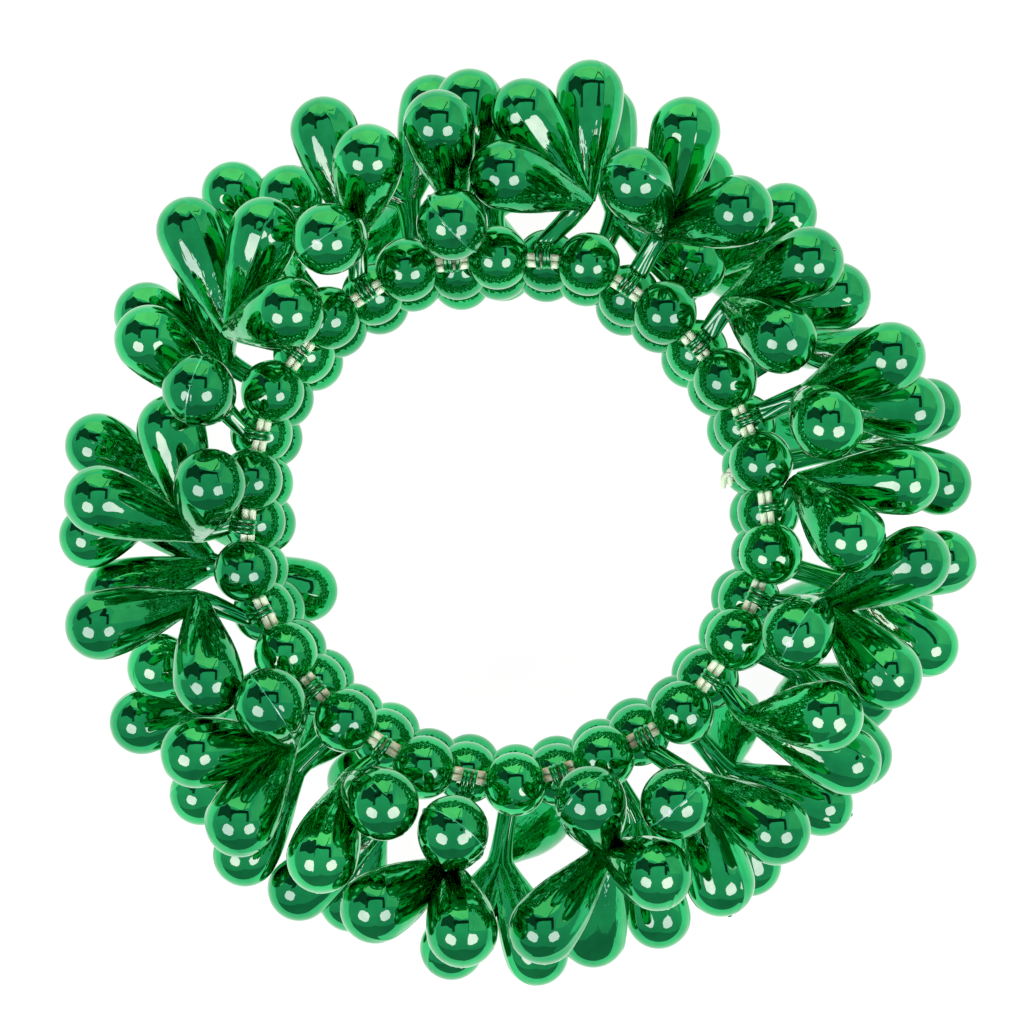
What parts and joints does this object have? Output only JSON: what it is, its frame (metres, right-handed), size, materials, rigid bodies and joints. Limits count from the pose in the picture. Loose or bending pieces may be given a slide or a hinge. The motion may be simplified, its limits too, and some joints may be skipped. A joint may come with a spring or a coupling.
{
  "type": "stretch bead bracelet",
  "caption": "Stretch bracelet: rows of round beads on doubled elastic, ringed above and below by swinging bunches of teardrop beads, all in shiny green plastic.",
  "frame": {"origin": "centre of the bounding box, on the plane that the lowest drops rest on", "axes": "+Z along the axis of the wrist opening, towards the upper bunches; +X and +Y in the plane of the ring"},
  "size_m": [0.1066, 0.1064, 0.0457],
  "materials": {
    "round_bead": "vacuum-metallised green, mirror gloss",
    "drop_bead": "vacuum-metallised green, mirror gloss, faint mould parting line",
    "elastic_cord": "off-white stretch cord, slightly translucent"
  },
  "bodies": {
    "elastic": {"elastic_loop_1": "elastic_cord", "elastic_loop_2": "elastic_cord", "elastic_loop_3": "elastic_cord", "elastic_loop_4": "elastic_cord"},
    "column_01": {"bead_column_01": "round_bead"},
    "column_02": {"bead_column_02": "round_bead"},
    "column_03": {"bead_column_03": "round_bead"},
    "column_04": {"bead_column_04": "round_bead"},
    "column_05": {"bead_column_05": "round_bead"},
    "column_06": {"bead_column_06": "round_bead"},
    "column_07": {"bead_column_07": "round_bead"},
    "column_08": {"bead_column_08": "round_bead"},
    "column_09": {"bead_column_09": "round_bead"},
    "column_10": {"bead_column_10": "round_bead"},
    "column_11": {"bead_column_11": "round_bead"},
    "column_12": {"bead_column_12": "round_bead"},
    "column_13": {"bead_column_13": "round_bead"},
    "column_14": {"bead_column_14": "round_bead"},
    "column_15": {"bead_column_15": "round_bead"},
    "column_16": {"bead_column_16": "round_bead"},
    "column_17": {"bead_column_17": "round_bead"},
    "column_18": {"bead_column_18": "round_bead"},
    "upper_bunch_01": {"upper_bunch_01": "drop_bead"},
    "upper_bunch_02": {"upper_bunch_02": "drop_bead"},
    "upper_bunch_03": {"upper_bunch_03": "drop_bead"},
    "upper_bunch_04": {"upper_bunch_04": "drop_bead"},
    "upper_bunch_05": {"upper_bunch_05": "drop_bead"},
    "upper_bunch_06": {"upper_bunch_06": "drop_bead"},
    "upper_bunch_07": {"upper_bunch_07": "drop_bead"},
    "upper_bunch_08": {"upper_bunch_08": "drop_bead"},
    "upper_bunch_09": {"upper_bunch_09": "drop_bead"},
    "upper_bunch_10": {"upper_bunch_10": "drop_bead"},
    "upper_bunch_11": {"upper_bunch_11": "drop_bead"},
    "upper_bunch_12": {"upper_bunch_12": "drop_bead"},
    "upper_bunch_13": {"upper_bunch_13": "drop_bead"},
    "upper_bunch_14": {"upper_bunch_14": "drop_bead"},
    "upper_bunch_15": {"upper_bunch_15": "drop_bead"},
    "upper_bunch_16": {"upper_bunch_16": "drop_bead"},
    "upper_bunch_17": {"upper_bunch_17": "drop_bead"},
    "upper_bunch_18": {"upper_bunch_18": "drop_bead"},
    "lower_bunch_01": {"lower_bunch_01": "drop_bead"},
    "lower_bunch_02": {"lower_bunch_02": "drop_bead"},
    "lower_bunch_03": {"lower_bunch_03": "drop_bead"},
    "lower_bunch_04": {"lower_bunch_04": "drop_bead"},
    "lower_bunch_05": {"lower_bunch_05": "drop_bead"},
    "lower_bunch_06": {"lower_bunch_06": "drop_bead"},
    "lower_bunch_07": {"lower_bunch_07": "drop_bead"},
    "lower_bunch_08": {"lower_bunch_08": "drop_bead"},
    "lower_bunch_09": {"lower_bunch_09": "drop_bead"},
    "lower_bunch_10": {"lower_bunch_10": "drop_bead"},
    "lower_bunch_11": {"lower_bunch_11": "drop_bead"},
    "lower_bunch_12": {"lower_bunch_12": "drop_bead"},
    "lower_bunch_13": {"lower_bunch_13": "drop_bead"},
    "lower_bunch_14": {"lower_bunch_14": "drop_bead"},
    "lower_bunch_15": {"lower_bunch_15": "drop_bead"},
    "lower_bunch_16": {"lower_bunch_16": "drop_bead"},
    "lower_bunch_17": {"lower_bunch_17": "drop_bead"},
    "lower_bunch_18": {"lower_bunch_18": "drop_bead"}
  },
  "joints": [
    {"name": "stretch_01", "type": "slide", "parent": "elastic", "child": "column_01", "axis": [0.9588, 0.2842, 0], "range_m": [0, 0.012], "stiffness_N_per_m": 60, "deforming": ["elastic_loop_1", "elastic_loop_2", "elastic_loop_3", "elastic_loop_4"]},
    {"name": "stretch_02", "type": "slide", "parent": "elastic", "child": "column_02", "axis": [0.8038, 0.595, 0], "range_m": [0, 0.012]},
    {"name": "stretch_03", "type": "slide", "parent": "elastic", "child": "column_03", "axis": [0.5518, 0.834, 0], "range_m": [0, 0.012]},
    {"name": "stretch_04", "type": "slide", "parent": "elastic", "child": "column_04", "axis": [0.2333, 0.9724, 0], "range_m": [0, 0.012]},
    {"name": "stretch_05", "type": "slide", "parent": "elastic", "child": "column_05", "axis": [-0.1134, 0.9936, 0], "range_m": [0, 0.012]},
    {"name": "stretch_06", "type": "slide", "parent": "elastic", "child": "column_06", "axis": [-0.4463, 0.8949, 0], "range_m": [0, 0.012]},
    {"name": "stretch_07", "type": "slide", "parent": "elastic", "child": "column_07", "axis": [-0.7255, 0.6882, 0], "range_m": [0, 0.012]},
    {"name": "stretch_08", "type": "slide", "parent": "elastic", "child": "column_08", "axis": [-0.9171, 0.3986, 0], "range_m": [0, 0.012]},
    {"name": "stretch_09", "type": "slide", "parent": "elastic", "child": "column_09", "axis": [-0.9981, 0.0609, 0], "range_m": [0, 0.012]},
    {"name": "stretch_10", "type": "slide", "parent": "elastic", "child": "column_10", "axis": [-0.9588, -0.2842, 0], "range_m": [0, 0.012]},
    {"name": "stretch_11", "type": "slide", "parent": "elastic", "child": "column_11", "axis": [-0.8038, -0.595, 0], "range_m": [0, 0.012]},
    {"name": "stretch_12", "type": "slide", "parent": "elastic", "child": "column_12", "axis": [-0.5518, -0.834, 0], "range_m": [0, 0.012]},
    {"name": "stretch_13", "type": "slide", "parent": "elastic", "child": "column_13", "axis": [-0.2333, -0.9724, 0], "range_m": [0, 0.012]},
    {"name": "stretch_14", "type": "slide", "parent": "elastic", "child": "column_14", "axis": [0.1134, -0.9936, 0], "range_m": [0, 0.012]},
    {"name": "stretch_15", "type": "slide", "parent": "elastic", "child": "column_15", "axis": [0.4463, -0.8949, 0], "range_m": [0, 0.012]},
    {"name": "stretch_16", "type": "slide", "parent": "elastic", "child": "column_16", "axis": [0.7255, -0.6882, 0], "range_m": [0, 0.012]},
    {"name": "stretch_17", "type": "slide", "parent": "elastic", "child": "column_17", "axis": [0.9171, -0.3986, 0], "range_m": [0, 0.012]},
    {"name": "stretch_18", "type": "slide", "parent": "elastic", "child": "column_18", "axis": [0.9981, -0.0609, 0], "range_m": [0, 0.012]},
    {"name": "upper_bunch_01_swing", "type": "hinge", "parent": "column_01", "child": "upper_bunch_01", "pos_m": [0.02539, 0.01182, 0.0293], "axis": [0.388, -0.9217, 0], "range_deg": [-18, 21]},
    {"name": "upper_bunch_02_swing", "type": "hinge", "parent": "column_02", "child": "upper_bunch_02", "pos_m": [0.02004, 0.02015, 0.0293], "axis": [0.6839, -0.7296, 0], "range_deg": [-30, 51]},
    {"name": "upper_bunch_03_swing", "type": "hinge", "parent": "column_03", "child": "upper_bunch_03", "pos_m": [0.01246, 0.02674, 0.0293], "axis": [0.7918, -0.6108, 0], "range_deg": [-35, 65]},
    {"name": "upper_bunch_04_swing", "type": "hinge", "parent": "column_04", "child": "upper_bunch_04", "pos_m": [0.003, 0.02982, 0.0293], "axis": [0.9991, 0.0434, 0], "range_deg": [-6, 6]},
    {"name": "upper_bunch_05_swing", "type": "hinge", "parent": "column_05", "child": "upper_bunch_05", "pos_m": [-0.00717, 0.02947, 0.0293], "axis": [0.9991, 0.0435, 0], "range_deg": [-6, 6]},
    {"name": "upper_bunch_06_swing", "type": "hinge", "parent": "column_06", "child": "upper_bunch_06", "pos_m": [-0.01673, 0.02621, 0.0293], "axis": [0.8442, 0.536, 0], "range_deg": [-12, 22]},
    {"name": "upper_bunch_07_swing", "type": "hinge", "parent": "column_07", "child": "upper_bunch_07", "pos_m": [-0.02432, 0.01934, 0.0293], "axis": [0.6156, 0.7881, 0], "range_deg": [-3, 18]},
    {"name": "upper_bunch_08_swing", "type": "hinge", "parent": "column_08", "child": "upper_bunch_08", "pos_m": [-0.02854, 0.01018, 0.0293], "axis": [0.147, 0.9891, 0], "range_deg": [-14, 53]},
    {"name": "upper_bunch_09_swing", "type": "hinge", "parent": "column_09", "child": "upper_bunch_09", "pos_m": [-0.03008, 0.00013, 0.0293], "axis": [0.1752, 0.9845, 0], "range_deg": [-35, 14]},
    {"name": "upper_bunch_10_swing", "type": "hinge", "parent": "column_10", "child": "upper_bunch_10", "pos_m": [-0.02816, -0.00964, 0.0293], "axis": [-0.5135, 0.8581, 0], "range_deg": [-5, 3]},
    {"name": "upper_bunch_11_swing", "type": "hinge", "parent": "column_11", "child": "upper_bunch_11", "pos_m": [-0.02243, -0.01794, 0.0293], "axis": [-0.661, 0.7504, 0], "range_deg": [-3, 4]},
    {"name": "upper_bunch_12_swing", "type": "hinge", "parent": "column_12", "child": "upper_bunch_12", "pos_m": [-0.01473, -0.02434, 0.0293], "axis": [-0.8467, 0.532, 0], "range_deg": [-27, 54]},
    {"name": "upper_bunch_13_swing", "type": "hinge", "parent": "column_13", "child": "upper_bunch_13", "pos_m": [-0.00526, -0.028, 0.0293], "axis": [-0.9751, 0.2216, 0], "range_deg": [-35, 13]},
    {"name": "upper_bunch_14_swing", "type": "hinge", "parent": "column_14", "child": "upper_bunch_14", "pos_m": [0.0048, -0.02734, 0.0293], "axis": [-0.9253, -0.3791, 0], "range_deg": [-12, 3]},
    {"name": "upper_bunch_15_swing", "type": "hinge", "parent": "column_15", "child": "upper_bunch_15", "pos_m": [0.01413, -0.0233, 0.0293], "axis": [-0.9031, -0.4294, 0], "range_deg": [-3, 25]},
    {"name": "upper_bunch_16_swing", "type": "hinge", "parent": "column_16", "child": "upper_bunch_16", "pos_m": [0.02162, -0.01672, 0.0293], "axis": [-0.5514, -0.8342, 0], "range_deg": [-12, 15]},
    {"name": "upper_bunch_17_swing", "type": "hinge", "parent": "column_17", "child": "upper_bunch_17", "pos_m": [0.02662, -0.00786, 0.0293], "axis": [-0.4449, -0.8956, 0], "range_deg": [-19, 5]},
    {"name": "upper_bunch_18_swing", "type": "hinge", "parent": "column_18", "child": "upper_bunch_18", "pos_m": [0.02803, 0.00208, 0.0293], "axis": [0.1712, -0.9852, 0], "range_deg": [-5, 31]},
    {"name": "lower_bunch_01_swing", "type": "hinge", "parent": "column_01", "child": "lower_bunch_01", "pos_m": [0.02334, 0.01593, 0.01385], "axis": [-0.5306, 0.8476, 0], "range_deg": [-21, 13]},
    {"name": "lower_bunch_02_swing", "type": "hinge", "parent": "column_02", "child": "lower_bunch_02", "pos_m": [0.01672, 0.0233, 0.01385], "axis": [-0.7919, 0.6106, 0], "range_deg": [-2, 2]},
    {"name": "lower_bunch_03_swing", "type": "hinge", "parent": "column_03", "child": "lower_bunch_03", "pos_m": [0.00818, 0.02859, 0.01385], "axis": [-0.8794, 0.4761, 0], "range_deg": [-2, 2]},
    {"name": "lower_bunch_04_swing", "type": "hinge", "parent": "column_04", "child": "lower_bunch_04", "pos_m": [-0.00164, 0.03012, 0.01385], "axis": [-0.9792, -0.2029, 0], "range_deg": [-9, 65]},
    {"name": "lower_bunch_05_swing", "type": "hinge", "parent": "column_05", "child": "lower_bunch_05", "pos_m": [-0.01162, 0.02814, 0.01385], "axis": [-0.9792, -0.203, 0], "range_deg": [-24, 9]},
    {"name": "lower_bunch_06_swing", "type": "hinge", "parent": "column_06", "child": "lower_bunch_06", "pos_m": [-0.02054, 0.02339, 0.01385], "axis": [-0.7474, -0.6643, 0], "range_deg": [-12, 65]},
    {"name": "lower_bunch_07_swing", "type": "hinge", "parent": "column_07", "child": "lower_bunch_07", "pos_m": [-0.02694, 0.01539, 0.01385], "axis": [-0.4814, -0.8765, 0], "range_deg": [-3, 65]},
    {"name": "lower_bunch_08_swing", "type": "hinge", "parent": "column_08", "child": "lower_bunch_08", "pos_m": [-0.02963, 0.00567, 0.01385], "axis": [0.0134, -0.9999, 0], "range_deg": [-5, 1]},
    {"name": "lower_bunch_09_swing", "type": "hinge", "parent": "column_09", "child": "lower_bunch_09", "pos_m": [-0.02954, -0.0045, 0.01385], "axis": [-0.0152, -0.9999, 0], "range_deg": [-1, 5]},
    {"name": "lower_bunch_10_swing", "type": "hinge", "parent": "column_10", "child": "lower_bunch_10", "pos_m": [-0.02608, -0.01383, 0.01385], "axis": [0.6444, -0.7647, 0], "range_deg": [-26, 65]},
    {"name": "lower_bunch_11_swing", "type": "hinge", "parent": "column_11", "child": "lower_bunch_11", "pos_m": [-0.01909, -0.0211, 0.01385], "axis": [0.7727, -0.6348, 0], "range_deg": [-21, 24]},
    {"name": "lower_bunch_12_swing", "type": "hinge", "parent": "column_12", "child": "lower_bunch_12", "pos_m": [-0.01047, -0.02618, 0.01385], "axis": [0.921, -0.3895, 0], "range_deg": [-27, 6]},
    {"name": "lower_bunch_13_swing", "type": "hinge", "parent": "column_13", "child": "lower_bunch_13", "pos_m": [-0.00054, -0.02829, 0.01385], "axis": [0.998, -0.0626, 0], "range_deg": [-18, 59]},
    {"name": "lower_bunch_14_swing", "type": "hinge", "parent": "column_14", "child": "lower_bunch_14", "pos_m": [0.00929, -0.02602, 0.01385], "axis": [0.8527, 0.5225, 0], "range_deg": [-12, 26]},
    {"name": "lower_bunch_15_swing", "type": "hinge", "parent": "column_15", "child": "lower_bunch_15", "pos_m": [0.01785, -0.02054, 0.01385], "axis": [0.8227, 0.5685, 0], "range_deg": [-12, 34]},
    {"name": "lower_bunch_16_swing", "type": "hinge", "parent": "column_16", "child": "lower_bunch_16", "pos_m": [0.02419, -0.01284, 0.01385], "axis": [0.4106, 0.9118, 0], "range_deg": [-9, 9]},
    {"name": "lower_bunch_17_swing", "type": "hinge", "parent": "column_17", "child": "lower_bunch_17", "pos_m": [0.02771, -0.0033, 0.01385], "axis": [0.2957, 0.9553, 0], "range_deg": [-31, 65]},
    {"name": "lower_bunch_18_swing", "type": "hinge", "parent": "column_18", "child": "lower_bunch_18", "pos_m": [0.0275, 0.00674, 0.01385], "axis": [-0.3268, 0.9451, 0], "range_deg": [-18, 47]}
  ],
  "couplings": [
    {"joint": "stretch_02", "follows": "stretch_01", "ratio": 1},
    {"joint": "stretch_03", "follows": "stretch_01", "ratio": 1},
    {"joint": "stretch_04", "follows": "stretch_01", "ratio": 1},
    {"joint": "stretch_05", "follows": "stretch_01", "ratio": 1},
    {"joint": "stretch_06", "follows": "stretch_01", "ratio": 1},
    {"joint": "stretch_07", "follows": "stretch_01", "ratio": 1},
    {"joint": "stretch_08", "follows": "stretch_01", "ratio": 1},
    {"joint": "stretch_09", "follows": "stretch_01", "ratio": 1},
    {"joint": "stretch_10", "follows": "stretch_01", "ratio": 1},
    {"joint": "stretch_11", "follows": "stretch_01", "ratio": 1},
    {"joint": "stretch_12", "follows": "stretch_01", "ratio": 1},
    {"joint": "stretch_13", "follows": "stretch_01", "ratio": 1},
    {"joint": "stretch_14", "follows": "stretch_01", "ratio": 1},
    {"joint": "stretch_15", "follows": "stretch_01", "ratio": 1},
    {"joint": "stretch_16", "follows": "stretch_01", "ratio": 1},
    {"joint": "stretch_17", "follows": "stretch_01", "ratio": 1},
    {"joint": "stretch_18", "follows": "stretch_01", "ratio": 1}
  ]
}
